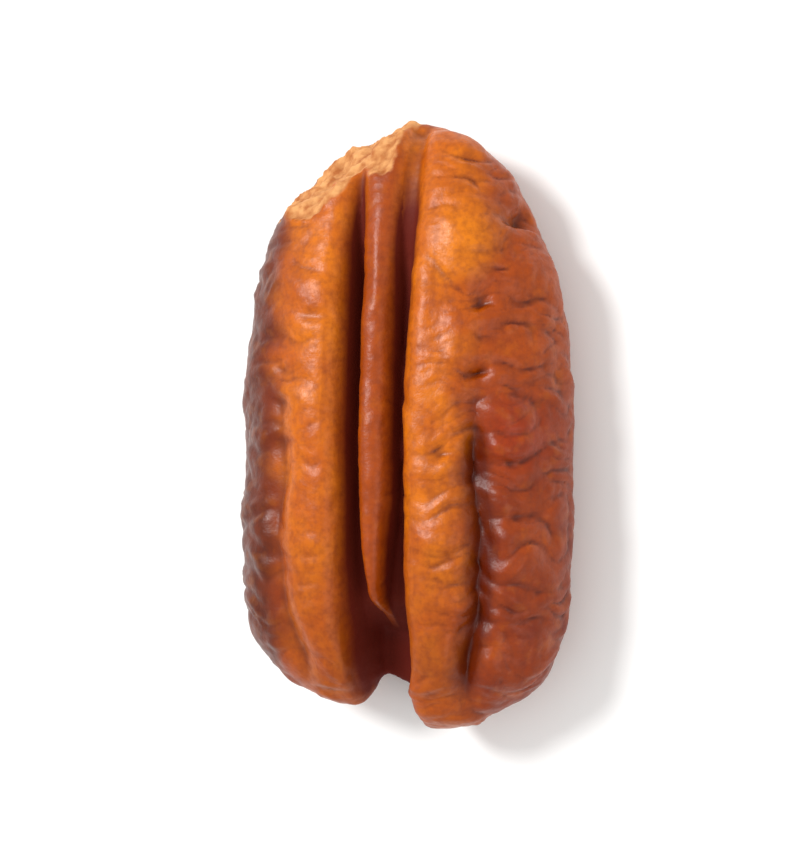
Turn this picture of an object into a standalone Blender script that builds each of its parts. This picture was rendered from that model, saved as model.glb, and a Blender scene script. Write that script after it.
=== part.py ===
"""One shelled pecan half, lying on the flat face that met the other half.

The kernel is one grown piece. Its domed back has a low middle ridge between two deep grooves, and a shallower
furrow part-way down each flank. Its underside is flat, with the channel that the shell's middle wall left.
The long axis is Y, with the chipped tip at +Y and the two lobe ends at -Y. Sizes are in millimetres until the
finished mesh is scaled to metres.
"""

import math

import bmesh
import bpy
from mathutils import Matrix, Vector, noise

METRES_PER_MM = 0.001

# Overall size
LENGTH = 32.0
WIDTH = 18.3
HEIGHT = 8.6

# Mesh density, as meridians round the long axis and rings along it
MERIDIANS = 96
RINGS = 50
CROWDING = 0.5  # how far the meridians crowd towards the middle of the back and of the underside
MOST_PARALLEL = 2.5  # how much wider than the outline the middle meridians may stay at the ends

# Plan: an egg, widest nearer the lobe ends
WIDEST_Y = -6.2
TIP_ROUNDING = 3.4
LOBE_ROUNDING = 3.2

# Section: a dome over the rim, and a flatter underside below it
RIM_HEIGHT = 3.0
RIM_RISE = 0.8
HIGHEST_Y = -2.7
TIP_SLOPE = 2.1
LOBE_SLOPE = 2.4
DOME_POWER = 2.5
UNDERSIDE_LENGTH_POWER = 5.0
UNDERSIDE_POWER = 4.0
UNDERSIDE_EDGE = 0.45
FLAT_DIP = 0.2  # how far the underside is pressed flat where the kernel rests

# Middle ridge and the deep grooves on each side of it, which the lobes' walls bound. A pair of numbers is
# where along Y a change starts and where it ends.
RIDGE_X = -0.5
LEFT_WALL = 1.4  # from the ridge's middle line
RIGHT_WALL = 1.5
RIGHT_WALL_SPREADS = 0.6
RIGHT_WALL_SPREADS_OVER = (3.0, 12.0)
WALL_WIDTH = 2.3
WALL_SHOULDER = 3.2  # the higher the power, the tighter the wall's shoulder
GROOVE_DEPTH = 2.6
GROOVE_SHALLOW_AT_TIP = 0.3
LEFT_GROOVE_SHALLOWS = (7.0, 13.8)
RIGHT_GROOVE_SHALLOWS = (4.0, 13.8)
GROOVES_END = (-10.5, -14.0)  # the notch takes over from the grooves and from the channel here
LEFT_RIDGE_HALF = 1.1
RIGHT_RIDGE_HALF = 1.35
RIDGE_DROP = 0.55
RIDGE_SHOULDER = 2.6
RIDGE_NARROWS = (-2.0, -14.0)
RIDGE_ENDS = (-7.5, -13.2)
NARROWEST_RIDGE = 0.001  # as a share of its full width

# Furrow part-way down each flank
LEFT_FURROW_X = 5.8
RIGHT_FURROW_X = 5.5
FURROW_WIDTH = 1.5
LEFT_FURROW_DEPTH = 0.4
RIGHT_FURROW_DEPTH = 0.85
FURROW_FADES_TO_TIP = (1.8, 8.0)
FURROW_FADES_TO_LOBES = (-12.5, -15.0)
FURROW_TURNS_IN = 1.3
FURROW_TURNS_OVER = (-9.0, -14.5)

# Notch between the two lobe ends, with a thin web across it
WEB_HEIGHT = 2.4
WEB_THINNING = 0.85
WEB_THINS_OVER = (-9.0, -12.5)
NOTCH_X = -0.4
NOTCH_DEPTH = 1.9
NOTCH_FLOOR = 0.8  # half width
NOTCH_MOUTH = 2.1
LOBE_END_DEPTH = 0.4  # the wider, shallower bay that rounds the inner corners of the lobe ends
LOBE_END_WIDTH = 4.4
NOTCH_REACH = 8.0
LEFT_LOBE_SHORTER = 1.0
SHORTER_FROM_X = 0.9
SHORTEST_FROM_X = -2.7
END_SMOOTHING = 4
END_SMOOTHED_TO = -11.2

# Swellings and hollows of the back, as X, Y, half size along X and Y, and height
SWELLINGS = (
    (4.3, 9.7, 2.4, 2.9, 0.36),
    (7.2, 7.6, 1.5, 1.5, 0.25),
    (7.0, -0.2, 1.7, 2.0, 0.30),
    (7.3, -6.4, 1.3, 1.6, 0.25),
    (3.3, -12.4, 1.9, 2.4, 0.26),
    (-4.0, -10.4, 1.7, 2.6, 0.20),
    (7.3, 10.7, 1.6, 1.0, -1.1),
    (5.4, 2.2, 1.0, 1.1, -0.5),
)

# Channel along the underside
CHANNEL_DEPTH = 2.2
CHANNEL_WIDTH = 3.2
CHANNEL_FADES_TO_TIP = (5.3, 12.9)

# Torn facet on the left of the tip
CHIP_POINT = Vector((-3.1, 14.2, 3.1))
CHIP_NORMAL = Vector((-0.46, 0.76, 0.46)).normalized()
CHIP_SNAP = 0.05  # places nearer than this to the facet are moved onto it

# Uneven growth
SWELL_SIZE = 4.0
SWELL_HEIGHT = 0.2

RIM_BLEND = 0.6  # how far above and below the rim the back gives way to the underside


def clamp01(value):
    return min(1.0, max(0.0, value))


def ramp(start, end, value):
    """Smooth step from 0 at start to 1 at end, with start above end for a step down."""
    share = clamp01((value - start) / (end - start))
    return share * share * (3.0 - 2.0 * share)


def bump(distance, width):
    """Smooth hill of height 1 that ends at width."""
    return (1.0 - min(1.0, abs(distance) / width) ** 2) ** 2


def cleft(distance, width, shoulder):
    """Sharp-bottomed valley of depth 1 that ends at width."""
    return (1.0 - min(1.0, abs(distance) / width)) ** shoulder


def end_share(y, middle, power):
    """1 at the middle of the length, falling to 0 at either end as a rounded curve."""
    reach = LENGTH / 2 - middle if y > middle else LENGTH / 2 + middle
    return math.sqrt(max(0.0, 1.0 - min(1.0, abs(y - middle) / reach) ** power))


def half_width(y):
    return WIDTH / 2 * end_share(y, WIDEST_Y, TIP_ROUNDING if y > WIDEST_Y else LOBE_ROUNDING)


def rim_height(y):
    return RIM_HEIGHT + RIM_RISE * (2.0 * y / LENGTH) ** 2


def side_place(across, y):
    """X of a meridian: those near the middle stay parallel to the grooves until the ends draw them in."""
    reach = half_width(y)
    parallel = min(MOST_PARALLEL, WIDTH / 2 / max(reach, 0.01)) - 1.0
    return reach * across * (1.0 + parallel * (1.0 - abs(across)) ** 2)


def smooth_kernel(direction):
    """Place of a point of the unit sphere, whose poles are on Y, on the kernel without its grooves."""
    y = LENGTH / 2 * direction.y
    around = math.atan2(direction.z, direction.x)
    around += CROWDING * math.sin(2.0 * around) / 2.0
    x = side_place(math.cos(around), y)
    across = x / max(half_width(y), 0.01)
    rim = rim_height(y)
    if math.sin(around) > 0.0:
        dome = (HEIGHT - rim) * end_share(y, HIGHEST_Y, TIP_SLOPE if y > HIGHEST_Y else LOBE_SLOPE)
        return Vector((x, y, rim + dome * math.sqrt(1.0 - abs(across) ** DOME_POWER)))
    depth = (rim + FLAT_DIP) * end_share(y, WIDEST_Y, UNDERSIDE_LENGTH_POWER)
    return Vector((x, y, rim - depth * (1.0 - abs(across) ** UNDERSIDE_POWER) ** UNDERSIDE_EDGE))


def swelling_height(x, y):
    total = 0.0
    for middle_x, middle_y, half_x, half_y, height in SWELLINGS:
        total += height * bump(math.hypot((x - middle_x) / half_x, (y - middle_y) / half_y), 1.0)
    return total


def groove_depth(x, y):
    """Depth of the two grooves and of the ridge's crown between them."""
    side = x - RIDGE_X
    wall = RIGHT_WALL + RIGHT_WALL_SPREADS * ramp(*RIGHT_WALL_SPREADS_OVER, y) if side > 0.0 else LEFT_WALL
    ridge_half = RIGHT_RIDGE_HALF if side > 0.0 else LEFT_RIDGE_HALF
    ridge_half *= 1.0 + NARROWEST_RIDGE - ramp(*RIDGE_NARROWS, y)
    if abs(side) < ridge_half:
        groove = cleft(abs(side) - ridge_half, ridge_half, RIDGE_SHOULDER)
        drop = RIDGE_DROP + (GROOVE_DEPTH - RIDGE_DROP) * ramp(*RIDGE_ENDS, y)
    else:
        groove = cleft(max(0.0, abs(side) - wall), WALL_WIDTH, WALL_SHOULDER)
        drop = 0.0
    shallows = ramp(*(RIGHT_GROOVE_SHALLOWS if side > 0.0 else LEFT_GROOVE_SHALLOWS), y)
    run_out = (1.0 - (1.0 - GROOVE_SHALLOW_AT_TIP) * shallows) * (1.0 - ramp(*GROOVES_END, y))
    return run_out * (drop + (GROOVE_DEPTH - drop) * groove)


def back_depth(x, y):
    """How far the back lies below the smooth dome."""
    along = (1.0 - ramp(*FURROW_FADES_TO_LOBES, y)) * (1.0 - ramp(*FURROW_FADES_TO_TIP, y))
    line = (RIGHT_FURROW_X if x > 0.0 else LEFT_FURROW_X) - FURROW_TURNS_IN * ramp(*FURROW_TURNS_OVER, y)
    furrow = RIGHT_FURROW_DEPTH if x > 0.0 else LEFT_FURROW_DEPTH
    return groove_depth(x, y) + furrow * along * bump(abs(x) - line, FURROW_WIDTH) - swelling_height(x, y)


def underside_depth(x, y):
    """How far the channel is cut up into the underside."""
    along = (1.0 - ramp(*CHANNEL_FADES_TO_TIP, y)) * (1.0 - ramp(*GROOVES_END, y))
    return CHANNEL_DEPTH * along * bump(x - RIDGE_X, CHANNEL_WIDTH)


def cut_grooves(bm):
    """Presses the grooves in along the smooth kernel's own normals."""
    bm.normal_update()
    presses = []
    for vert in bm.verts:
        x, y, z = vert.co
        on_back = ramp(-RIM_BLEND, RIM_BLEND, z - rim_height(y))
        depth = on_back * back_depth(x, y) + (1.0 - on_back) * underside_depth(x, y)
        presses.append(depth - SWELL_HEIGHT * noise.noise(vert.co / SWELL_SIZE))
    for vert, depth in zip(bm.verts, presses):
        vert.co -= vert.normal * depth


def cut_notch(bm):
    """Pinches the end between the lobes to a thin web, draws it in, and makes the left lobe the shorter."""
    for vert in bm.verts:
        x, y, z = vert.co
        between = ramp(NOTCH_MOUTH, NOTCH_FLOOR, abs(x - NOTCH_X))
        near_end = ramp(-LENGTH / 2 + NOTCH_REACH, -LENGTH / 2, y)
        bay = LOBE_END_DEPTH * bump(x - RIDGE_X, LOBE_END_WIDTH)
        shorter = LEFT_LOBE_SHORTER * ramp(SHORTER_FROM_X, SHORTEST_FROM_X, x)
        vert.co.y += near_end * (NOTCH_DEPTH * between + bay + shorter)
        thinned = 1.0 - WEB_THINNING * ramp(*WEB_THINS_OVER, y) * between
        vert.co.z = WEB_HEIGHT + (z - WEB_HEIGHT) * thinned
    end = [vert for vert in bm.verts if vert.co.y < END_SMOOTHED_TO]
    for _ in range(END_SMOOTHING):
        bmesh.ops.smooth_vert(bm, verts=end, factor=0.5, use_axis_x=True, use_axis_y=True, use_axis_z=True)


def chip_tip(bm):
    """Cuts the tip off at the torn facet and closes the cut with one flat face."""
    geometry = bm.verts[:] + bm.edges[:] + bm.faces[:]
    bmesh.ops.bisect_plane(bm, geom=geometry, dist=CHIP_SNAP, plane_co=CHIP_POINT, plane_no=CHIP_NORMAL,
                           use_snap_center=True, clear_outer=True)
    outline = [edge for edge in bm.edges if edge.is_boundary]
    bmesh.ops.contextual_create(bm, geom=outline)


def bring_to_size(bm):
    """Scales the kernel to its stated box, with the middle of the box's underside on the origin."""
    low = Vector([min(vert.co[axis] for vert in bm.verts) for axis in range(3)])
    high = Vector([max(vert.co[axis] for vert in bm.verts) for axis in range(3)])
    size = high - low
    foot = Vector(((low.x + high.x) / 2, (low.y + high.y) / 2, low.z))
    bmesh.ops.translate(bm, verts=bm.verts, vec=-foot)
    fit = (WIDTH / size.x, LENGTH / size.y, (HEIGHT + FLAT_DIP) / size.z)
    bmesh.ops.scale(bm, verts=bm.verts, vec=fit)
    bmesh.ops.translate(bm, verts=bm.verts, vec=(0.0, 0.0, -FLAT_DIP))


def press_flat(bm):
    """Flattens the underside where it would pass through the surface that it rests on."""
    for vert in bm.verts:
        vert.co.z = max(0.0, vert.co.z)


def make_kernel_mesh():
    bm = bmesh.new()
    bmesh.ops.create_uvsphere(bm, u_segments=MERIDIANS, v_segments=RINGS, radius=1.0)
    bmesh.ops.rotate(bm, verts=bm.verts, cent=(0, 0, 0), matrix=Matrix.Rotation(math.pi / 2, 3, "X"))
    for vert in bm.verts:
        vert.co = smooth_kernel(vert.co)
    cut_grooves(bm)
    cut_notch(bm)
    chip_tip(bm)
    bring_to_size(bm)
    press_flat(bm)
    bmesh.ops.recalc_face_normals(bm, faces=bm.faces)
    bmesh.ops.triangulate(bm, faces=bm.faces)
    bmesh.ops.scale(bm, verts=bm.verts, vec=(METRES_PER_MM, METRES_PER_MM, METRES_PER_MM))
    mesh = bpy.data.meshes.new("pecan_kernel")
    bm.to_mesh(mesh)
    bm.free()
    mesh.shade_smooth()
    return mesh


def seed_coat_material():
    """Reddish-brown seed coat, dry with a slight oily sheen."""
    material = bpy.data.materials.new("pecan_seed_coat")
    material.use_nodes = True
    shader = material.node_tree.nodes["Principled BSDF"]
    shader.inputs["Base Color"].default_value = (0.42, 0.11, 0.03, 1.0)
    shader.inputs["Roughness"].default_value = 0.45
    shader.inputs["Metallic"].default_value = 0.0
    return material


for old_object in list(bpy.data.objects):
    bpy.data.objects.remove(old_object, do_unlink=True)
kernel = bpy.data.objects.new("pecan_kernel", make_kernel_mesh())
kernel.data.materials.append(seed_coat_material())
bpy.context.scene.collection.objects.link(kernel)
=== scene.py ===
"""One shelled pecan half: the finished kernel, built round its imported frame, with a studio round it."""

import math

import bmesh
import bpy
import numpy as np
from mathutils import Matrix, Vector, noise


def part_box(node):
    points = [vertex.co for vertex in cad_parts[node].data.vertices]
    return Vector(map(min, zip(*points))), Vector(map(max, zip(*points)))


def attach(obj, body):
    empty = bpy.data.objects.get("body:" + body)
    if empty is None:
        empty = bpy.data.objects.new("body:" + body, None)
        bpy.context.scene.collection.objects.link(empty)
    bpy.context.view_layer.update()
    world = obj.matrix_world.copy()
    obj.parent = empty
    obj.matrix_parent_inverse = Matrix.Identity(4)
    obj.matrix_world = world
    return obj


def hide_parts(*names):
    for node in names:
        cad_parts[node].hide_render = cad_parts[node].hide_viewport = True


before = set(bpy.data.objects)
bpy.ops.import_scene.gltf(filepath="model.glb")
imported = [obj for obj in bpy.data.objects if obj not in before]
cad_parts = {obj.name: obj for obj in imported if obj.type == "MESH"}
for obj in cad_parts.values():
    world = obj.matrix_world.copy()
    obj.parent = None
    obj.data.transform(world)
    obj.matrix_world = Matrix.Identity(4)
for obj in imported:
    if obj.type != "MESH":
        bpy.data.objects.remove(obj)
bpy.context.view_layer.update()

# Sizes below are in millimetres; the mesh is scaled to metres at the end.
MM = 0.001
kernel_low, kernel_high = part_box("pecan_kernel")
WIDTH, LENGTH, HEIGHT = (kernel_high - kernel_low) / MM

# Mesh density
MERIDIANS = 300
RINGS = 230
CROWDING = 0.35
MOST_PARALLEL = 2.5
SKIN_MESH = 0.145  # edge length of the even mesh that carries the skin
MESH_SMOOTHING = 3

# Plan of the smooth kernel: an egg, widest nearer the lobe ends
WIDEST_Y = -6.2
TIP_ROUNDING = 3.4
LOBE_ROUNDING = 3.2
NARROWEST = 0.01

# Section: a dome over the rim, and a flatter underside below it
RIM_HEIGHT = 3.0
RIM_RISE = 0.8
HIGHEST_Y = -2.7
TIP_SLOPE = 2.1
LOBE_SLOPE = 2.4
DOME_POWER = 2.5
UNDERSIDE_LENGTH_POWER = 5.0
UNDERSIDE_POWER = 4.0
UNDERSIDE_EDGE = 0.45
FLAT_DIP = 0.2  # how far the underside is pressed flat where the kernel rests
RIM_BLEND = 0.6  # how far above and below the rim the back gives way to the underside

# Middle ridge and the deep grooves on each side of it, which the lobes' walls bound. A pair of numbers is
# where along Y a change starts and where it ends.
RIDGE_X = -0.5
LEFT_WALL = 1.4  # from the ridge's middle line
RIGHT_WALL = 1.5
RIGHT_WALL_SPREADS = 0.6
RIGHT_WALL_SPREADS_OVER = (3.0, 12.0)
WALL_WIDTH = 2.3
WALL_SHOULDER = 5.0  # the higher the power, the tighter the wall's shoulder
GROOVE_DEPTH = 2.6
GROOVE_SHALLOW_AT_TIP = 0.3
LEFT_GROOVE_SHALLOWS_FROM = 7.0
RIGHT_GROOVE_SHALLOWS_FROM = 4.0
GROOVES_SHALLOWEST_AT = 13.8
GROOVES_START = (-14.0, -10.5)  # the notch gives way to the grooves and to the channel here
LEFT_RIDGE_HALF = 1.1
RIGHT_RIDGE_HALF = 1.35
RIDGE_DROP = 0.55
RIDGE_SHOULDER = 3.0
RIDGE_NARROWS = (-2.0, -14.0)
RIDGE_ENDS = (-7.5, -13.2)
NARROWEST_RIDGE = 0.001  # as a share of its full width
GROOVE_WANDER = 0.12
GROOVE_WANDERS_FROM = (-13.0, -8.0)

# Furrows down the flanks
LEFT_FURROW_X = 5.8
RIGHT_FURROW_X = 5.5
FURROW_WIDTH = 1.4
LEFT_FURROW_DEPTH = 0.5
RIGHT_FURROW_DEPTH = 1.0
FURROW_SHOULDER = 1.7
FURROW_WANDER = 0.5
FURROW_TURNS_IN = 1.3
FURROW_TURNS_OVER = (-9.0, -14.5)
FURROW_FADES_IN = (-15.0, -12.5)
FURROW_FADES_TO_TIP = (9.0, 3.0)
FURROW_WHOLE_FROM = (1.0, -1.5)  # towards the tip from here it breaks into pits
BROKEN_FURROW = (0.3, 0.5, 2.5)  # lowest share, added share and sharpness of the pits

# Notch between the lobe ends, with a thin web across it
WEB_HEIGHT = 2.4
WEB_THINNING = 0.85
WEB_THINS_OVER = (-9.0, -12.5)
NOTCH_X = -0.4
NOTCH_DEPTH = 1.9
NOTCH_FLOOR = 0.8  # half width
NOTCH_MOUTH = 2.1
LOBE_END_DEPTH = 0.4
LOBE_END_WIDTH = 4.4
NOTCH_REACH = 8.0
LEFT_LOBE_SHORTER = 1.0
SHORTER_OVER_X = (0.9, -2.7)

# Swellings and pits of the back, as X, Y, half size along X and Y, and height
SWELLINGS = (
    (4.5, 9.6, 2.3, 2.8, 0.50),
    (7.2, 7.6, 1.5, 1.5, 0.25),
    (7.0, -0.2, 1.7, 2.0, 0.30),
    (4.4, 4.4, 1.2, 1.4, 0.16),
    (7.6, 3.6, 1.5, 1.2, 0.22),
    (7.3, -6.4, 1.3, 1.6, 0.25),
    (3.2, -5.4, 1.5, 2.0, 0.16),
    (3.3, -12.4, 1.9, 2.4, 0.26),
    (-4.0, -10.4, 1.7, 2.6, 0.20),
    (-4.2, 1.2, 1.5, 3.0, 0.14),
    (7.3, 10.7, 1.6, 1.0, -1.1),
    (6.9, 5.9, 1.6, 0.8, -0.28),
    (5.6, 6.3, 1.0, 1.3, -0.34),
    (5.4, 2.2, 1.0, 1.1, -0.50),
    (3.8, -1.4, 0.9, 0.7, -0.26),
    (6.4, -2.6, 1.3, 0.7, -0.28),
    (-3.3, 5.6, 1.6, 0.5, -0.20),
    (-4.0, -6.6, 1.9, 0.5, -0.16),
)

# Channel along the underside
CHANNEL_DEPTH = 2.2
CHANNEL_WIDTH = 3.2
CHANNEL_FADES_TO_TIP = (12.9, 5.3)

# Torn facet on the left of the tip
CHIP_POINT = np.array((-3.1, 14.2, 3.1))
CHIP_NORMAL = np.array(Vector((-0.46, 0.76, 0.46)).normalized())
CHIP_UNEVEN = 0.6
CHIP_ON_RIDGE = 0.7
RIDGE_END_Y = 13.2
RIDGE_END_HALF_SIZE = (1.4, 2.2)

# Patches of the back, as X, Y, and half size along X and Y
SMOOTH_PATCH = (4.5, 9.6, 2.8, 3.3)
GOLD_PATCH = (4.4, 9.6, 2.8, 3.2)
MAUVE_PATCH = (7.2, -0.6, 2.6, 3.4)

# Uneven growth
SWELL_SIZE = 4.0
SWELL_HEIGHT = 0.2

# Noise fields, as the size of a swell along X, Y and Z, and a seed that sets each field apart
PATCHY = ((3.0, 2.5, 3.0), 21.0)
BENDS = ((2.0, 2.4, 2.0), 33.0)
COARSE_PUCKERS = ((3.4, 1.6, 3.4), 7.0)
MIDDLING_PUCKERS = ((2.2, 0.8, 2.2), 15.0)
FINE_PUCKERS = ((0.9, 0.38, 0.9), 11.0)
TEAR_SWELLS = ((1.8, 1.8, 1.8), 40.0)
GRAIN = ((0.5, 0.5, 0.5), 51.0)
LONG_GRAIN = ((0.3, 1.8, 0.3), 57.0)
COARSE_FLESH = ((1.3, 1.3, 1.3), 61.0)
MIDDLING_FLESH = ((0.45, 0.45, 0.45), 67.0)
FINE_FLESH = ((0.22, 0.22, 0.22), 69.0)
CREST_EDGE = ((2.5, 1.6, 2.5), 71.0)
RAGGED_EDGE = ((0.5, 0.5, 0.5), 73.0)
LEFT_SHADE_EDGE = ((2.0, 1.5, 2.0), 77.0)

# The same for lines that wander, as a size along Y and a seed
GROOVE_WANDERS = (5.0, 3.1)
FURROW_WANDERS = (3.5, 5.5)
FURROW_BREAKS = (1.1, 12.3)

# Skin relief
COARSE_WRINKLE = 0.56
MIDDLING_WRINKLE = 0.30
FINE_WRINKLE = 0.10
WRINKLE_BEND = np.array((0.2, 0.9, 0.2))
FLANK_WRINKLES_OVER = (2.0, 6.0)
CREST_WRINKLES = 0.35  # as a share of the flanks'
LEFT_WRINKLES = 0.65  # as a share of the right side's
LOBE_END_WRINKLES = 0.9
LOBE_END_WRINKLES_OVER = (-11.0, -14.0)
UNDERSIDE_WRINKLES = 0.45
GROOVE_SMOOTHNESS = 0.8
FURROW_SMOOTHNESS = 0.4
SOFTENING = 3
SOFTENED_GROOVE_FROM = (10.0, 12.5)
# Reach, in mesh steps, of the painted shade in the skin's creases and in its broad hollows
CREASE_SHADE_REACH = 10  # mesh steps
SHADE_HOLLOW_REACH = 90

# Grain of the skin, and crumbs of the torn flesh
GRAIN_HEIGHT = 0.014
LONG_GRAIN_HEIGHT = 0.006
COARSE_FLESH_HEIGHT = 0.35
MIDDLING_FLESH_HEIGHT = 0.14
FINE_FLESH_HEIGHT = 0.08
FLESH_DEPTH = 0.08

# Where each colour of the skin lies, with the painted shade in the grooves and notch
SHADE_DEEPEST_HALF = 1.2
SHADE_DEEPEST = 1.6
SHADE_FADES_TO_TIP = (15.0, 9.0)
NOTCH_SHADE_HALF = (1.8, 1.0)
NOTCH_SHADE_FROM = (-9.0, -12.0)
RIDGE_COLOUR_FROM = (-13.0, -9.0)
TORN_FROM = (-0.30, -0.12)
TORN_RAGGED = 0.22
TORN_FACES = (0.30, 0.65)
LOW_FROM = (-3.0, -14.0)
LIGHT_OVER_X = (1.0, 3.0)
LIGHT_OVER_Y = (0.5, 3.5)
UNDER_FACES = (0.0, -0.8)
# Painted shade down the right furrow, across X
FURROW_SHADE_OVER_X = (0.0, 2.0)
# The lobes' golden tops: partly the skin's own colour, partly painted light on the tops
CREST_HALF = 5.1
CREST_FADES = (1.1, -1.3)
# Painted shade on the left flank, as if it faced away from the light
LEFT_SHADE_OVER_X = (-4.8, -7.2)
LEFT_SHADE_OVER_Z = (0.3, 2.2)
EDGE_WANDER = 0.9


def linear(hex_colour):
    """Linear RGBA of an sRGB hex colour."""
    parts = [int(hex_colour[place:place + 2], 16) / 255 for place in (1, 3, 5)]
    parts = [part / 12.92 if part <= 0.04045 else ((part + 0.055) / 1.055) ** 2.4 for part in parts]
    return (*parts, 1.0)


# ---- fields on arrays of points ----

def ramp(start, end, value):
    """Smooth step from 0 at start to 1 at end, with start above end for a step down."""
    share = np.clip((value - start) / (end - start), 0.0, 1.0)
    return share * share * (3.0 - 2.0 * share)


def bump(distance, width):
    """Smooth hill of height 1 that ends at width."""
    return (1.0 - np.minimum(1.0, np.abs(distance) / width) ** 2) ** 2


def cleft(distance, width, shoulder):
    """Sharp-bottomed valley of depth 1 that ends at width."""
    return (1.0 - np.minimum(1.0, np.abs(distance) / width)) ** shoulder


def swells(places, size, seed=0.0):
    """Smooth noise from about -1 to 1, with swells of the given size along X, Y and Z."""
    scaled = places / np.array(size) + seed
    return np.array([noise.noise(place) for place in scaled.tolist()])


def puckers(places, size, seed=0.0):
    """Round-topped puckers with creases between them: 0 in a crease, up to about 0.7 on a pucker."""
    return np.abs(swells(places, size, seed))


def end_share(y, middle, power):
    reach = np.where(y > middle, LENGTH / 2 - middle, LENGTH / 2 + middle)
    return np.sqrt(np.maximum(0.0, 1.0 - np.minimum(1.0, np.abs(y - middle) / reach) ** power))


def half_width(y):
    return WIDTH / 2 * end_share(y, WIDEST_Y, np.where(y > WIDEST_Y, TIP_ROUNDING, LOBE_ROUNDING))


def rim_height(y):
    return RIM_HEIGHT + RIM_RISE * (2.0 * y / LENGTH) ** 2


def along_only(y, size, seed):
    """Noise that changes along the kernel alone, for lines that wander."""
    places = np.column_stack((np.zeros_like(y), y, np.zeros_like(y)))
    return swells(places, (1.0, size, 1.0), seed)


# ---- the kernel's shape ----

def smooth_kernel(directions):
    """Kernel without its grooves, from points of the unit sphere whose poles are on Y."""
    y = LENGTH / 2 * directions[:, 1]
    around = np.arctan2(directions[:, 2], directions[:, 0])
    around += CROWDING * np.sin(2.0 * around) / 2.0
    reach = np.maximum(half_width(y), NARROWEST)
    across = np.cos(around)
    parallel = np.minimum(MOST_PARALLEL, WIDTH / 2 / reach) - 1.0
    across = across * (1.0 + parallel * (1.0 - np.abs(across)) ** 2)
    rim = rim_height(y)
    slope = np.where(y > HIGHEST_Y, TIP_SLOPE, LOBE_SLOPE)
    dome = (HEIGHT - rim) * end_share(y, HIGHEST_Y, slope)
    back = rim + dome * np.sqrt(1.0 - np.abs(across) ** DOME_POWER)
    depth = (rim + FLAT_DIP) * end_share(y, WIDEST_Y, UNDERSIDE_LENGTH_POWER)
    under = rim - depth * (1.0 - np.abs(across) ** UNDERSIDE_POWER) ** UNDERSIDE_EDGE
    return np.column_stack((reach * across, y, np.where(np.sin(around) > 0.0, back, under)))


def groove_profile(x, y):
    """Depth share of the grooves, share of the ridge's crown, and distance from the ridge's middle line."""
    wander = GROOVE_WANDER * along_only(y, *GROOVE_WANDERS) * ramp(*GROOVE_WANDERS_FROM, y)
    side = x - RIDGE_X - wander
    right_wall = RIGHT_WALL + RIGHT_WALL_SPREADS * ramp(*RIGHT_WALL_SPREADS_OVER, y)
    wall = np.where(side > 0.0, right_wall, LEFT_WALL)
    ridge_half = np.where(side > 0.0, RIGHT_RIDGE_HALF, LEFT_RIDGE_HALF)
    ridge_half = ridge_half * (1.0 + NARROWEST_RIDGE - ramp(*RIDGE_NARROWS, y))
    ridge_wall = cleft(np.abs(side) - ridge_half, ridge_half, RIDGE_SHOULDER)
    lobe_wall = cleft(np.maximum(0.0, np.abs(side) - wall), WALL_WIDTH, WALL_SHOULDER)
    groove = np.where(np.abs(side) < ridge_half, ridge_wall, lobe_wall)
    return groove, bump(side, ridge_half), side


def furrow_profile(x, y):
    """The furrow down each flank as 0 to 1; it wanders, and breaks into pits towards the tip."""
    line = np.where(x > 0.0, RIGHT_FURROW_X, LEFT_FURROW_X) + FURROW_WANDER * along_only(y, *FURROW_WANDERS)
    line -= FURROW_TURNS_IN * ramp(*FURROW_TURNS_OVER, y)
    least, added, sharpness = BROKEN_FURROW
    broken = least + added * np.clip(sharpness * along_only(y, *FURROW_BREAKS), -1.0, 1.0)
    whole = ramp(*FURROW_WHOLE_FROM, y)
    ends = ramp(*FURROW_FADES_IN, y) * ramp(*FURROW_FADES_TO_TIP, y)
    return ends * (whole + (1.0 - whole) * broken) * cleft(np.abs(x) - line, FURROW_WIDTH, FURROW_SHOULDER)


def patch(x, y, middle_x, middle_y, half_x, half_y):
    """Smooth oval hill of height 1."""
    return bump(np.hypot((x - middle_x) / half_x, (y - middle_y) / half_y), 1.0)


def swelling_height(x, y):
    total = 0.0
    for *oval, height in SWELLINGS:
        total = total + height * patch(x, y, *oval)
    return total


def back_depth(x, y):
    """How far the back lies below the smooth dome."""
    groove, ridge, side = groove_profile(x, y)
    from_y = np.where(side > 0.0, RIGHT_GROOVE_SHALLOWS_FROM, LEFT_GROOVE_SHALLOWS_FROM)
    shallows = ramp(from_y, GROOVES_SHALLOWEST_AT, y)
    run_out = (1.0 - (1.0 - GROOVE_SHALLOW_AT_TIP) * shallows) * ramp(*GROOVES_START, y)
    drop = RIDGE_DROP + (GROOVE_DEPTH - RIDGE_DROP) * ramp(*RIDGE_ENDS, y)
    drop = drop * (ridge > 0.0)
    depth = run_out * (drop + (GROOVE_DEPTH - drop) * groove)
    furrow = np.where(x > 0.0, RIGHT_FURROW_DEPTH, LEFT_FURROW_DEPTH)
    return depth + furrow * furrow_profile(x, y) - swelling_height(x, y)


def underside_depth(x, y):
    """How far the channel is cut up into the underside."""
    along = CHANNEL_DEPTH * ramp(*CHANNEL_FADES_TO_TIP, y) * ramp(*GROOVES_START, y)
    return along * bump(x - RIDGE_X, CHANNEL_WIDTH)


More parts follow.
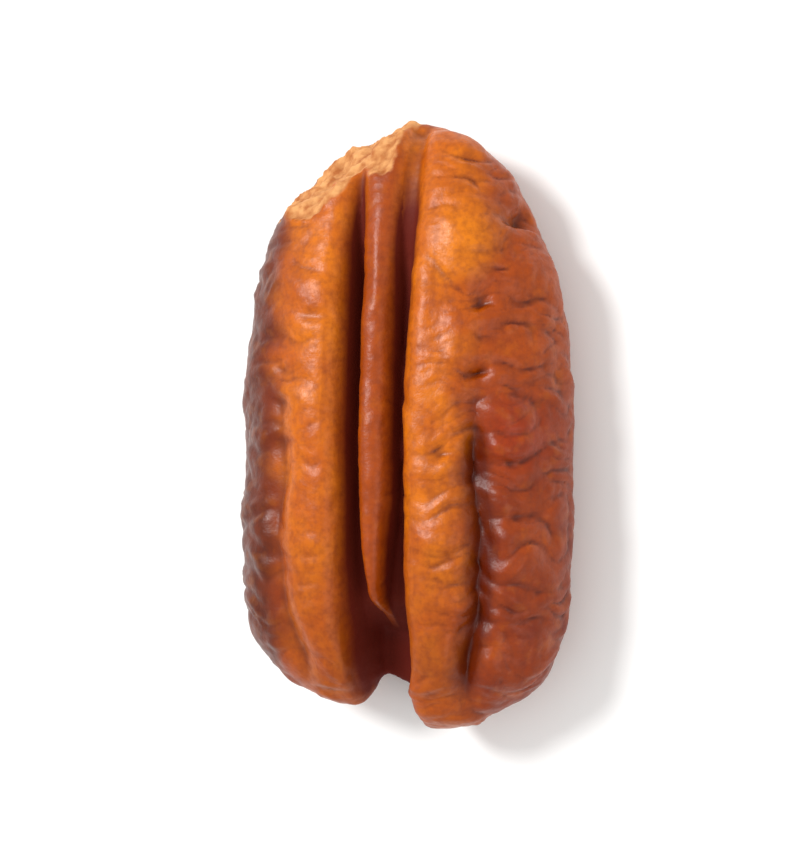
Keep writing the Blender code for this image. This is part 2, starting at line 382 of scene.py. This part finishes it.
def wrinkles(places):
    """Height of the cross wrinkles, strongest on the right flank and faint on the lobes' crests."""
    x, y, _ = places.T
    flank = ramp(*FLANK_WRINKLES_OVER, np.abs(x - RIDGE_X))
    right = ramp(-1.0, 2.0, x)
    patchy = np.clip(0.5 + 1.4 * swells(places, *PATCHY), 0.0, 1.0)
    bent = places + swells(places, *BENDS)[:, None] * WRINKLE_BEND
    by_flank = CREST_WRINKLES + (1.0 - CREST_WRINKLES) * flank
    by_side = LEFT_WRINKLES + (1.0 - LEFT_WRINKLES) * right
    strength = np.maximum(by_flank * by_side, LOBE_END_WRINKLES * ramp(*LOBE_END_WRINKLES_OVER, y))
    strength *= 1.0 - 0.7 * patch(x, y, *SMOOTH_PATCH) * right
    height = COARSE_WRINKLE * puckers(bent, *COARSE_PUCKERS)
    height += MIDDLING_WRINKLE * puckers(bent, *MIDDLING_PUCKERS) * (0.4 + 0.6 * patchy)
    height += FINE_WRINKLE * puckers(bent, *FINE_PUCKERS)
    return height * strength


def chip_height(places):
    """How far each place lies beyond the torn facet, which is uneven and runs down onto the ridge's end."""
    on_ridge = patch(places[:, 0], places[:, 1], RIDGE_X, RIDGE_END_Y, *RIDGE_END_HALF_SIZE)
    uneven = CHIP_UNEVEN * swells(places, *TEAR_SWELLS)
    return (places - CHIP_POINT) @ CHIP_NORMAL - uneven + CHIP_ON_RIDGE * on_ridge


def points_of(mesh):
    found = np.empty(len(mesh.vertices) * 3)
    mesh.vertices.foreach_get("co", found)
    return found.reshape(-1, 3)


def normals_of(mesh):
    found = np.empty(len(mesh.vertices) * 3)
    mesh.vertex_normals.foreach_get("vector", found)
    return found.reshape(-1, 3)


def set_points(mesh, places):
    mesh.vertices.foreach_set("co", places.ravel())
    mesh.update()


def back_share(places):
    """1 on the domed back, 0 on the underside."""
    return ramp(-RIM_BLEND, RIM_BLEND, places[:, 2] - rim_height(places[:, 1]))


def notched(places):
    """Pinches the end between the lobes to a thin web, draws it in, and makes the left lobe the shorter."""
    x, y, z = places.T
    between = ramp(NOTCH_MOUTH, NOTCH_FLOOR, np.abs(x - NOTCH_X))
    near_end = ramp(-LENGTH / 2 + NOTCH_REACH, -LENGTH / 2, y)
    bay = LOBE_END_DEPTH * bump(x - RIDGE_X, LOBE_END_WIDTH)
    shorter = LEFT_LOBE_SHORTER * ramp(*SHORTER_OVER_X, x)
    moved_y = y + near_end * (NOTCH_DEPTH * between + bay + shorter)
    thinned = 1.0 - WEB_THINNING * ramp(*WEB_THINS_OVER, y) * between
    return np.column_stack((x, moved_y, WEB_HEIGHT + (z - WEB_HEIGHT) * thinned))


def brought_to_size(places):
    """Scales the kernel to the frame's box, with the middle of the box's underside on the origin."""
    low, high = places.min(axis=0), places.max(axis=0)
    size = np.array((WIDTH, LENGTH, HEIGHT + FLAT_DIP))
    foot = np.array(((low[0] + high[0]) / 2, (low[1] + high[1]) / 2, low[2]))
    return (places - foot) * size / (high - low) - np.array((0.0, 0.0, FLAT_DIP))


def rough_kernel():
    """The kernel with its grooves, furrows, swellings, notch and chip, as one closed mesh."""
    bm = bmesh.new()
    bmesh.ops.create_uvsphere(bm, u_segments=MERIDIANS, v_segments=RINGS, radius=1.0)
    bmesh.ops.rotate(bm, verts=bm.verts, cent=(0, 0, 0), matrix=Matrix.Rotation(math.pi / 2, 3, "X"))
    mesh = bpy.data.meshes.new("kernel_rough")
    bm.to_mesh(mesh)
    bm.free()
    smooth = smooth_kernel(points_of(mesh))
    set_points(mesh, smooth)
    back = back_share(smooth)
    x, y, _ = smooth.T
    depth = back * back_depth(x, y) + (1.0 - back) * underside_depth(x, y)
    depth -= SWELL_HEIGHT * swells(smooth, (SWELL_SIZE, SWELL_SIZE, SWELL_SIZE))
    places = notched(smooth - normals_of(mesh) * depth[:, None])
    places -= CHIP_NORMAL * np.maximum(0.0, chip_height(places))[:, None]
    set_points(mesh, brought_to_size(places))
    return mesh


def averaged(mesh, places, times):
    """Moves each place half-way to the mean of its neighbours, as many times as told."""
    ends = np.empty(len(mesh.edges) * 2, int)
    mesh.edges.foreach_get("vertices", ends)
    one, other = ends.reshape(-1, 2).T
    near = np.bincount(ends, minlength=len(places))[:, None]
    for _ in range(times):
        sums = [
            np.bincount(one, along[other], len(along)) + np.bincount(other, along[one], len(along))
            for along in places.T
        ]
        places = (places + np.column_stack(sums) / near) / 2
    return places


def hollows(mesh, reach):
    """How far each point lies below the mean of the surface round it, with the reach in mesh steps."""
    places = points_of(mesh)
    return ((averaged(mesh, places, reach) - places) * normals_of(mesh)).sum(axis=1)


def even_mesh(mesh):
    """Replaces a mesh by one of even faces over the same surface."""
    carrier = bpy.data.objects.new("kernel_even", mesh)
    bpy.context.scene.collection.objects.link(carrier)
    remesh = carrier.modifiers.new("even", "REMESH")
    remesh.mode = "VOXEL"
    remesh.voxel_size = SKIN_MESH
    evened = bpy.data.meshes.new_from_object(carrier.evaluated_get(bpy.context.evaluated_depsgraph_get()))
    bpy.data.objects.remove(carrier)
    return evened


def smooth_skin_masks(places, normals):
    """Shares of the skin's colours that follow the kernel as it is before the wrinkles are raised. The
    groove share is the grooves' own darker skin deepened with painted shade, and painted shade in the notch.
    """
    back = back_share(places)
    groove, ridge, side = groove_profile(places[:, 0], places[:, 1])
    y = places[:, 1]
    # Painted shade in the notch and in the grooves' deepest part, over the grooves' own darker skin
    notch = ramp(*NOTCH_SHADE_HALF, np.abs(side)) * ramp(*NOTCH_SHADE_FROM, y)
    deepest = np.where(np.abs(side) < SHADE_DEEPEST_HALF, SHADE_DEEPEST, 1.0)
    shade = np.maximum(back * deepest * groove * ramp(*SHADE_FADES_TO_TIP, y), notch)
    beyond = chip_height(places) + TORN_RAGGED * swells(places, *RAGGED_EDGE)
    return {
        "groove": np.minimum(1.0, shade),
        "ridge": ridge * (back * ramp(*RIDGE_COLOUR_FROM, y)),
        "torn": ramp(*TORN_FROM, beyond) * ramp(*TORN_FACES, normals @ CHIP_NORMAL),
        "under": ramp(*UNDER_FACES, normals[:, 2]),
    }


def wrinkled_skin_masks(x, y, back):
    """Shares of the skin's colours that lie in patches of the wrinkled kernel, with painted shade down the
    right furrow.
    """
    right = ramp(*FURROW_SHADE_OVER_X, x)
    return {
        "gold": back * patch(x, y, *GOLD_PATCH),
        "mauve": back * patch(x, y, *MAUVE_PATCH),
        "low": ramp(*LOW_FROM, y),
        "light": ramp(*LIGHT_OVER_X, x) * ramp(*LIGHT_OVER_Y, y),
        # Painted shade down the right flank's furrow
        "furrow": back * right * ramp(*FURROW_WHOLE_FROM, y) * furrow_profile(x, y),
    }


def skin_relief(places, back, groove, torn):
    """Height of the skin's wrinkles and grain, and of the crumbly flesh where it is torn."""
    x, y, _ = places.T
    grain = GRAIN_HEIGHT * swells(places, *GRAIN) + LONG_GRAIN_HEIGHT * swells(places, *LONG_GRAIN)
    flesh = COARSE_FLESH_HEIGHT * swells(places, *COARSE_FLESH)
    flesh += MIDDLING_FLESH_HEIGHT * swells(places, *MIDDLING_FLESH)
    flesh += FINE_FLESH_HEIGHT * swells(places, *FINE_FLESH) - FLESH_DEPTH
    smoother = back * np.maximum(GROOVE_SMOOTHNESS * groove, FURROW_SMOOTHNESS * furrow_profile(x, y))
    share = (UNDERSIDE_WRINKLES + (1.0 - UNDERSIDE_WRINKLES) * back) * (1.0 - smoother)
    return (1.0 - torn) * (grain + share * wrinkles(places)) + torn * flesh


def make_kernel():
    mesh = even_mesh(rough_kernel())
    set_points(mesh, averaged(mesh, points_of(mesh), MESH_SMOOTHING))
    places, normals = points_of(mesh), normals_of(mesh)
    back = back_share(places)
    groove, _, side = groove_profile(places[:, 0], places[:, 1])
    masks = smooth_skin_masks(places, normals)
    places = places + normals * skin_relief(places, back, groove, masks["torn"])[:, None]
    x, y, _ = places.T
    softened = back * np.maximum(furrow_profile(x, y), groove * ramp(*SOFTENED_GROOVE_FROM, y))
    places = places + (averaged(mesh, places, SOFTENING) - places) * softened[:, None]
    x, y, _ = places.T
    places = brought_to_size(places)
    places[:, 2] = np.maximum(0.0, places[:, 2])
    set_points(mesh, places)
    masks |= wrinkled_skin_masks(x, y, back)
    # Painted shade: the skin is darkened in its creases and broad hollows, where shade falls
    masks["crease"] = hollows(mesh, CREASE_SHADE_REACH)
    masks["hollow_shade"] = hollows(mesh, SHADE_HOLLOW_REACH)
    # The lobes' golden tops: partly the skin's own colour, partly painted light on the tops
    edge = CREST_HALF + EDGE_WANDER * swells(places, *CREST_EDGE)
    outer, inner = CREST_FADES
    masks["crest"] = back * ramp(edge + outer, edge + inner, np.abs(side)) * (1.0 - masks["ridge"])
    # Painted shade on the left flank, as if it faced away from the light
    left_shade_edge = x + EDGE_WANDER * swells(places, *LEFT_SHADE_EDGE)
    masks["left"] = ramp(*LEFT_SHADE_OVER_X, left_shade_edge) * ramp(*LEFT_SHADE_OVER_Z, places[:, 2])
    set_points(mesh, places * MM)
    mesh.name = "pecan_half"
    for name, values in masks.items():
        mesh.attributes.new(name, "FLOAT", "POINT").data.foreach_set("value", values)
    mesh.shade_smooth()
    kernel = bpy.data.objects.new("pecan_half", mesh)
    bpy.context.scene.collection.objects.link(kernel)
    return kernel


# ---- materials ----

# Colours that lie over each other, each as the mask or noise that shows it, the values of that where it
# starts and is full, its strength there, and the colour
PLAIN_SKIN = "#7A2606"
SKIN_LAYERS = (
    ("mottle", 0.3, 0.7, 1.0, "#A8440E"),
    ("under", 0.0, 1.0, 0.60, "#B05A24"),
    # Painted shade on the left flank, as if it faced away from the light
    ("left", 0.0, 1.0, 0.88, "#4A1806"),
    ("light", 0.0, 1.0, 0.60, "#B95728"),
    ("mauve", 0.0, 1.0, 0.85, "#A0564A"),
)
# The lobes' golden tops: partly the skin's own colour, partly painted light on the tops
GOLDEN_CREST = "#E07C30"
CREST_LAYERS = (
    ("low", 0.0, 1.0, 1.0, "#A8500E"),
    ("mottle", 0.35, 0.65, 0.65, "#BC561C"),
)
CREST_SHOWS = (0.0, 0.9, 0.92)
TOP_LAYERS = (
    ("gold", 0.1, 0.9, 0.85, "#E8883C"),
    ("ridge", 0.1, 0.6, 0.85, "#AC5A3C"),
    ("blotch", 0.50, 0.70, 0.30, "#8C3A12"),
    ("blotch", 0.48, 0.30, 0.14, "#E08A48"),
    ("vein", 0.50, 0.66, 0.25, "#84320C"),
    ("speckle", 0.42, 0.75, 0.40, "#702708"),
    # Painted shade in the skin's creases and broad hollows
    ("crease", 0.0, 0.07, 0.80, "#5A1A07"),
    ("hollow_shade", 0.02, 0.4, 0.70, "#421104"),
    # Painted shade down the right furrow
    ("furrow", 0.1, 0.6, 0.80, "#541304"),
    # The grooves' own darker skin, deepened with painted shade
    ("groove", 0.2, 0.7, 0.95, "#661506"),
)
OILED_SATURATION = 1.2  # oil deepens the skin's colours
OILED_VALUE = 0.82
PALE_FLESH = "#A9622F"
FLESH_LAYERS = (
    ("flecks", 0.34, 0.62, 1.0, "#D69A60"),
    # Painted shade in the torn flesh's creases
    ("crease", -0.01, 0.07, 0.40, "#8E4A1C"),
)
MASKS = (
    "groove", "ridge", "crest", "torn", "crease", "hollow_shade", "gold", "mauve", "low", "left", "light", "furrow",
    "under",
)

# Noise on the skin, as features per millimetre and detail
SKIN_NOISES = {
    "mottle": (0.45, 4.0),
    "blotch": (1.1, 3.0),
    "speckle": (3.2, 5.0),
    "flecks": (1.6, 8.0),
    "pores": (6.0, 3.0),
}
VEINS_PER_MM = (1.6, 0.16, 1.6)
VEIN_DETAIL = 4.0
SKIN_ROUGHNESS = {1: 0.3, 2: 0.7, 3: 0.30, 4: 0.44}  # speckle from and to, then roughness from and to
MATT_ROUGHNESS = 0.85
SKIN_IOR = 1.47
SKIN_SPECULAR = 0.3
PORE_DEPTH = 0.05
PORE_STRENGTH = 0.35
BOARD_COLOURS = ("#F4F4F2", "#F8F8F7")
BOARD_CLOUDS_PER_M = 9.0
BOARD_ROUGHNESS = 0.9


def add_node(tree, kind, inputs, **settings):
    """Adds a node with its settings; an input, by name or number, is a value or the socket that feeds it."""
    node = tree.nodes.new(kind)
    for name, value in settings.items():
        setattr(node, name, value)
    for key, value in inputs.items():
        if isinstance(value, bpy.types.NodeSocket):
            tree.links.new(value, node.inputs[key])
        else:
            node.inputs[key].default_value = value
    return node


def seed_coat():
    """Pecan seed coat: a thin dry papery skin, oily enough to shine softly, golden on the crests and dark in
    the grooves, partly its own colours and partly painted light on the crests and painted shade in the
    grooves, with painted shade in its creases, hollows, right furrow and left flank. Where it is torn, the
    flesh under it is pale and matt."""
    material = bpy.data.materials.new("pecan_seed_coat")
    material.use_nodes = True
    tree = material.node_tree
    shader = tree.nodes["Principled BSDF"]
    place = add_node(tree, "ShaderNodeTexCoord", {}).outputs["Object"]
    to_mm = {"Vector": place, "Scale": (1 / MM, 1 / MM, 1 / MM)}
    in_mm = add_node(tree, "ShaderNodeMapping", to_mm).outputs[0]
    lengthwise = add_node(tree, "ShaderNodeMapping", {"Vector": in_mm, "Scale": VEINS_PER_MM}).outputs[0]
    veins = {"Vector": lengthwise, "Scale": 1.0, "Detail": VEIN_DETAIL}
    shows = {"vein": add_node(tree, "ShaderNodeTexNoise", veins).outputs[0]}
    for name, (per_mm, detail) in SKIN_NOISES.items():
        spots = {"Vector": in_mm, "Scale": per_mm, "Detail": detail}
        shows[name] = add_node(tree, "ShaderNodeTexNoise", spots).outputs[0]
    for name in MASKS:
        shows[name] = add_node(tree, "ShaderNodeAttribute", {}, attribute_name=name).outputs["Fac"]

    def layered(colour, layers):
        """Lays each layer's colour, a hex colour or a socket, over the ones before it."""
        for name, start, full, strength, over in layers:
            over = linear(over) if isinstance(over, str) else over
            span = {0: shows[name], 1: start, 2: full, 3: 0.0, 4: strength}
            share = add_node(tree, "ShaderNodeMapRange", span).outputs[0]
            blend = {0: share, 6: colour, 7: over}
            colour = add_node(tree, "ShaderNodeMix", blend, data_type="RGBA").outputs[2]
        return colour

    crest = layered(linear(GOLDEN_CREST), CREST_LAYERS)
    skin = layered(linear(PLAIN_SKIN), SKIN_LAYERS + (("crest", *CREST_SHOWS, crest),) + TOP_LAYERS)
    oiled = {"Saturation": OILED_SATURATION, "Value": OILED_VALUE, "Color": skin}
    skin = add_node(tree, "ShaderNodeHueSaturation", oiled).outputs[0]
    flesh = layered(linear(PALE_FLESH), FLESH_LAYERS)
    tree.links.new(layered(skin, (("torn", 0.0, 1.0, 1.0, flesh),)), shader.inputs["Base Color"])

    either = {0: shows["torn"], 1: shows["groove"]}
    matt = add_node(tree, "ShaderNodeMath", either, operation="MAXIMUM").outputs[0]
    glossy = add_node(tree, "ShaderNodeMapRange", {0: shows["speckle"], **SKIN_ROUGHNESS}).outputs[0]
    rough = add_node(tree, "ShaderNodeMix", {0: matt, 2: glossy, 3: MATT_ROUGHNESS}).outputs[0]
    tree.links.new(rough, shader.inputs["Roughness"])
    shader.inputs["IOR"].default_value = SKIN_IOR
    shader.inputs["Specular IOR Level"].default_value = SKIN_SPECULAR

    relief = {"Strength": PORE_STRENGTH, "Distance": PORE_DEPTH * MM, "Height": shows["pores"]}
    tree.links.new(add_node(tree, "ShaderNodeBump", relief).outputs[0], shader.inputs["Normal"])
    return material


def floor_paint():
    """Matt white studio board."""
    material = bpy.data.materials.new("white_studio_board")
    material.use_nodes = True
    tree = material.node_tree
    shader = tree.nodes["Principled BSDF"]
    place = add_node(tree, "ShaderNodeTexCoord", {}).outputs["Object"]
    spots = {"Vector": place, "Scale": BOARD_CLOUDS_PER_M, "Detail": 2.0}
    cloud = add_node(tree, "ShaderNodeTexNoise", spots).outputs[0]
    darker, lighter = map(linear, BOARD_COLOURS)
    blend = {0: cloud, 6: darker, 7: lighter}
    board = add_node(tree, "ShaderNodeMix", blend, data_type="RGBA").outputs[2]
    tree.links.new(board, shader.inputs["Base Color"])
    shader.inputs["Roughness"].default_value = BOARD_ROUGHNESS
    return material


# ---- studio, in metres and watts ----

FLOOR_RADIUS = 3.0
FLOOR_GAP = 0.02 * MM
CAMERA_TILT = math.radians(19.0)
CAMERA_LENS = 110.0
FRAME_SHARE = 0.72  # the kernel's length as a share of the picture's height
NEAREST_SEEN = 0.005
KEY_PLACE = (-0.20, 0.16, 0.36)
KEY_SIZE = 0.14
KEY_WATTS = 1.45
FILL_PLACE = (0.30, -0.10, 0.30)
FILL_SIZE = 0.30
FILL_WATTS = 0.3
SKY_STRENGTH = 0.8


def make_floor():
    bm = bmesh.new()
    bmesh.ops.create_circle(bm, cap_ends=True, segments=96, radius=FLOOR_RADIUS)
    bmesh.ops.translate(bm, verts=bm.verts, vec=(0.0, 0.0, kernel_low.z - FLOOR_GAP))
    mesh = bpy.data.meshes.new("studio_floor")
    bm.to_mesh(mesh)
    bm.free()
    floor = bpy.data.objects.new("studio_floor", mesh)
    floor.data.materials.append(floor_paint())
    bpy.context.scene.collection.objects.link(floor)


def make_camera(target):
    data = bpy.data.cameras.new("camera")
    data.lens = CAMERA_LENS
    data.clip_start = NEAREST_SEEN
    seen_height = LENGTH * MM / FRAME_SHARE
    distance = seen_height * CAMERA_LENS / data.sensor_width
    camera = bpy.data.objects.new("camera", data)
    camera.rotation_euler = (0.0, CAMERA_TILT, 0.0)
    camera.location = target + distance * Vector((math.sin(CAMERA_TILT), 0.0, math.cos(CAMERA_TILT)))
    bpy.context.scene.collection.objects.link(camera)
    bpy.context.scene.camera = camera


def add_softbox(name, place, size, watts, target):
    data = bpy.data.lights.new(name, "AREA")
    data.shape = "DISK"
    data.size = size
    data.energy = watts
    light = bpy.data.objects.new(name, data)
    light.location = place
    light.rotation_euler = (target - Vector(place)).to_track_quat("-Z", "Y").to_euler()
    bpy.context.scene.collection.objects.link(light)


def make_studio():
    target = (kernel_low + kernel_high) / 2
    make_floor()
    make_camera(target)
    add_softbox("key_softbox", KEY_PLACE, KEY_SIZE, KEY_WATTS, target)
    add_softbox("fill_softbox", FILL_PLACE, FILL_SIZE, FILL_WATTS, target)
    world = bpy.data.worlds.new("studio")
    world.use_nodes = True
    world.node_tree.nodes["Background"].inputs["Color"].default_value = linear("#FFFFFF")
    world.node_tree.nodes["Background"].inputs["Strength"].default_value = SKY_STRENGTH
    bpy.context.scene.world = world
    bpy.context.scene.view_settings.view_transform = "Standard"


kernel = make_kernel()
kernel.data.materials.clear()
kernel.data.materials.append(seed_coat())
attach(kernel, "root")
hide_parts("pecan_kernel")
make_studio()
